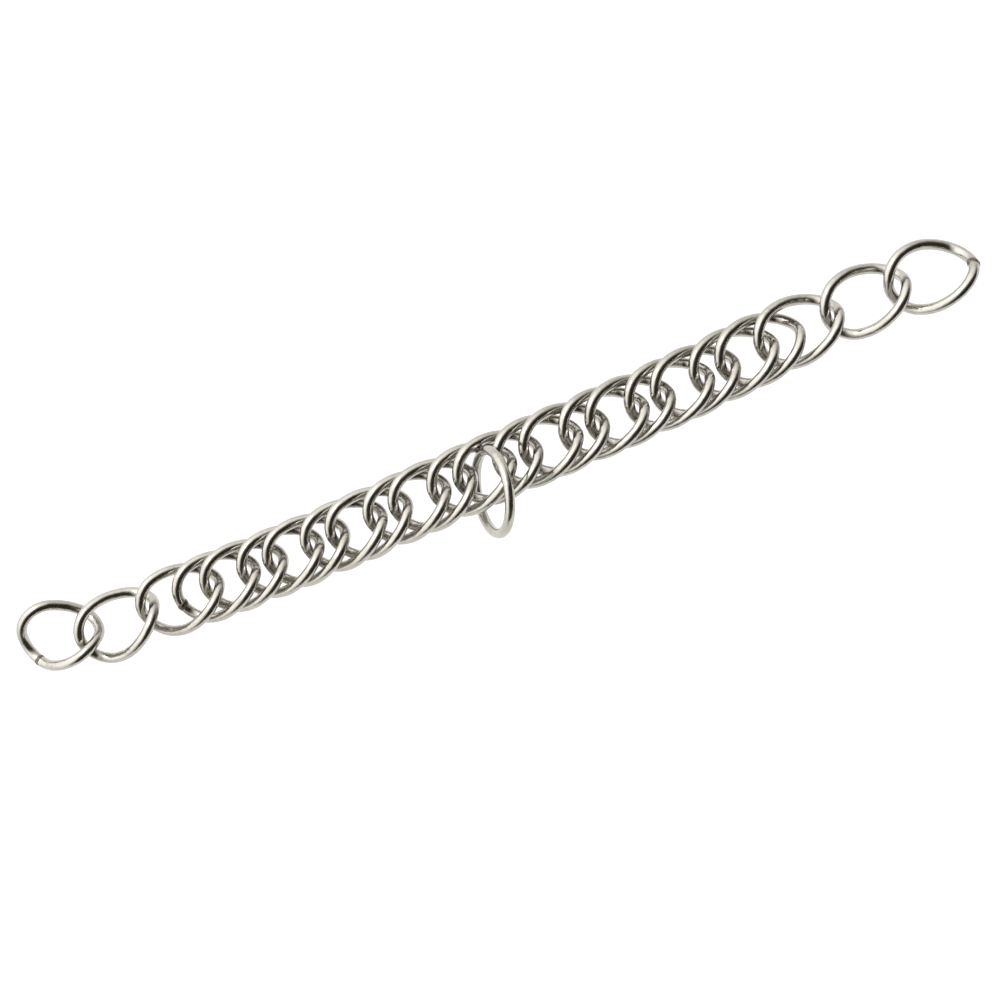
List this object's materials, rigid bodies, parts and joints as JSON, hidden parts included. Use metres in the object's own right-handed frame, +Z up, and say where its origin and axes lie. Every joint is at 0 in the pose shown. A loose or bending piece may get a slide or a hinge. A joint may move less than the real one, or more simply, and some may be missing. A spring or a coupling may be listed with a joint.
{
  "type": "double-link curb chain",
  "caption": "Flat-lying double-link curb chain of twisted wire links with a ring at each end and a loose fly ring at the middle.",
  "frame": {"origin": "middle of the bounding box in plan, at the surface the chain lies on", "axes": "+X along the chain towards its right end ring, +Y away from the fly ring's hanging side, +Z up from the surface"},
  "size_m": [0.2394, 0.0308, 0.0191],
  "materials": {
    "polished_steel": "polished stainless steel wire, bright on the crowns and darker where links rub"
  },
  "bodies": {
    "left_end_ring": {"left_end_ring": "polished_steel"},
    "left_single_link": {"left_single_link": "polished_steel"},
    "chain_link_03": {"chain_link_03": "polished_steel"},
    "chain_link_04": {"chain_link_04": "polished_steel"},
    "chain_link_05": {"chain_link_05": "polished_steel"},
    "chain_link_06": {"chain_link_06": "polished_steel"},
    "chain_link_07": {"chain_link_07": "polished_steel"},
    "chain_link_08": {"chain_link_08": "polished_steel"},
    "chain_link_09": {"chain_link_09": "polished_steel"},
    "chain_link_10": {"chain_link_10": "polished_steel"},
    "chain_link_11": {"chain_link_11": "polished_steel"},
    "chain_link_12": {"chain_link_12": "polished_steel"},
    "middle_link": {"middle_link": "polished_steel"},
    "chain_link_14": {"chain_link_14": "polished_steel"},
    "chain_link_15": {"chain_link_15": "polished_steel"},
    "chain_link_16": {"chain_link_16": "polished_steel"},
    "chain_link_17": {"chain_link_17": "polished_steel"},
    "chain_link_18": {"chain_link_18": "polished_steel"},
    "chain_link_19": {"chain_link_19": "polished_steel"},
    "chain_link_20": {"chain_link_20": "polished_steel"},
    "chain_link_21": {"chain_link_21": "polished_steel"},
    "chain_link_22": {"chain_link_22": "polished_steel"},
    "right_single_link": {"right_single_link": "polished_steel"},
    "right_end_ring": {"right_end_ring": "polished_steel"},
    "fly_ring": {"fly_ring": "polished_steel"}
  },
  "joints": [
    {"name": "curl_chain_link_14", "type": "hinge", "parent": "middle_link", "child": "chain_link_14", "pos_m": [0.00675, 0.00059, 0.00799], "axis": [0.0042, -1, 0], "range_deg": [-10, 10]},
    {"name": "curl_chain_link_15", "type": "hinge", "parent": "chain_link_14", "child": "chain_link_15", "pos_m": [0.0149, 0.00064, 0.00751], "axis": [0.0091, -1, 0], "range_deg": [-3.5, 3.5]},
    {"name": "curl_chain_link_16", "type": "hinge", "parent": "chain_link_15", "child": "chain_link_16", "pos_m": [0.02305, 0.00074, 0.00674], "axis": [0.0155, -0.9999, 0], "range_deg": [-15, 15]},
    {"name": "curl_chain_link_17", "type": "hinge", "parent": "chain_link_16", "child": "chain_link_17", "pos_m": [0.0312, 0.00089, 0.00588], "axis": [0.0211, -0.9998, 0], "range_deg": [-5.5, 5.5]},
    {"name": "curl_chain_link_18", "type": "hinge", "parent": "chain_link_17", "child": "chain_link_18", "pos_m": [0.03935, 0.00109, 0.00507], "axis": [0.0266, -0.9996, 0], "range_deg": [-15, 15]},
    {"name": "curl_chain_link_19", "type": "hinge", "parent": "chain_link_18", "child": "chain_link_19", "pos_m": [0.0475, 0.00133, 0.00441], "axis": [0.0332, -0.9994, 0], "range_deg": [-5.5, 5.5]},
    {"name": "curl_chain_link_20", "type": "hinge", "parent": "chain_link_19", "child": "chain_link_20", "pos_m": [0.05565, 0.00162, 0.00412], "axis": [0.038, -0.9993, 0], "range_deg": [-15, 15]},
    {"name": "curl_chain_link_21", "type": "hinge", "parent": "chain_link_20", "child": "chain_link_21", "pos_m": [0.0638, 0.00196, 0.00403], "axis": [0.0445, -0.999, 0], "range_deg": [-5.5, 5.5]},
    {"name": "curl_chain_link_22", "type": "hinge", "parent": "chain_link_21", "child": "chain_link_22", "pos_m": [0.07195, 0.00235, 0.00403], "axis": [0.0503, -0.9987, 0], "range_deg": [-15, 15]},
    {"name": "curl_right_single_link", "type": "hinge", "parent": "chain_link_22", "child": "right_single_link", "pos_m": [0.08505, 0.00273, 0.00403], "axis": [0.0618, -0.9981, 0], "range_deg": [-28, 30]},
    {"name": "curl_right_end_ring", "type": "hinge", "parent": "right_single_link", "child": "right_end_ring", "pos_m": [0.101, 0.00235, 0.00403], "axis": [-0.0349, -0.9994, 0], "range_deg": [-25, 25]},
    {"name": "curl_chain_link_12", "type": "hinge", "parent": "middle_link", "child": "chain_link_12", "pos_m": [-0.0014, 0.00058, 0.0082], "axis": [0.0028, 1, 0], "range_deg": [-3.5, 3.5]},
    {"name": "curl_chain_link_11", "type": "hinge", "parent": "chain_link_12", "child": "chain_link_11", "pos_m": [-0.00955, 0.00063, 0.00797], "axis": [0.0075, 1, 0], "range_deg": [-10, 10]},
    {"name": "curl_chain_link_10", "type": "hinge", "parent": "chain_link_11", "child": "chain_link_10", "pos_m": [-0.0177, 0.00071, 0.00747], "axis": [0.0144, 0.9999, 0], "range_deg": [-5.5, 5.5]},
    {"name": "curl_chain_link_09", "type": "hinge", "parent": "chain_link_10", "child": "chain_link_09", "pos_m": [-0.02585, 0.00086, 0.00669], "axis": [0.0197, 0.9998, 0], "range_deg": [-15, 15]},
    {"name": "curl_chain_link_08", "type": "hinge", "parent": "chain_link_09", "child": "chain_link_08", "pos_m": [-0.034, 0.00104, 0.00582], "axis": [0.0257, 0.9997, 0], "range_deg": [-5.5, 5.5]},
    {"name": "curl_chain_link_07", "type": "hinge", "parent": "chain_link_08", "child": "chain_link_07", "pos_m": [-0.04215, 0.00128, 0.00502], "axis": [0.032, 0.9995, 0], "range_deg": [-15, 15]},
    {"name": "curl_chain_link_06", "type": "hinge", "parent": "chain_link_07", "child": "chain_link_06", "pos_m": [-0.05035, 0.00156, 0.00438], "axis": [0.0371, 0.9993, 0], "range_deg": [-5.5, 5.5]},
    {"name": "curl_chain_link_05", "type": "hinge", "parent": "chain_link_06", "child": "chain_link_05", "pos_m": [-0.05835, 0.00188, 0.00411], "axis": [0.0438, 0.999, 0], "range_deg": [-15, 15]},
    {"name": "curl_chain_link_04", "type": "hinge", "parent": "chain_link_05", "child": "chain_link_04", "pos_m": [-0.0665, 0.00226, 0.00403], "axis": [0.0491, 0.9988, 0], "range_deg": [-5.5, 5.5]},
    {"name": "curl_chain_link_03", "type": "hinge", "parent": "chain_link_04", "child": "chain_link_03", "pos_m": [-0.0746, 0.00268, 0.00403], "axis": [0.0549, 0.9985, 0], "range_deg": [-15, 15]},
    {"name": "curl_left_single_link", "type": "hinge", "parent": "chain_link_03", "child": "left_single_link", "pos_m": [-0.0873, 0.00315, 0.00403], "axis": [-0.032, 0.9995, 0], "range_deg": [-30, 30]},
    {"name": "curl_left_end_ring", "type": "hinge", "parent": "left_single_link", "child": "left_end_ring", "pos_m": [-0.1026, 0.00502, 0.00403], "axis": [0.1478, 0.989, 0], "range_deg": [-25, 25]},
    {"name": "fly_ring_flop", "type": "hinge", "parent": "middle_link", "child": "fly_ring", "pos_m": [-0.00015, -0.00293, 0.00703], "axis": [-0.5736, 0.8192, 0], "range_deg": [-72, 0]}
  ]
}
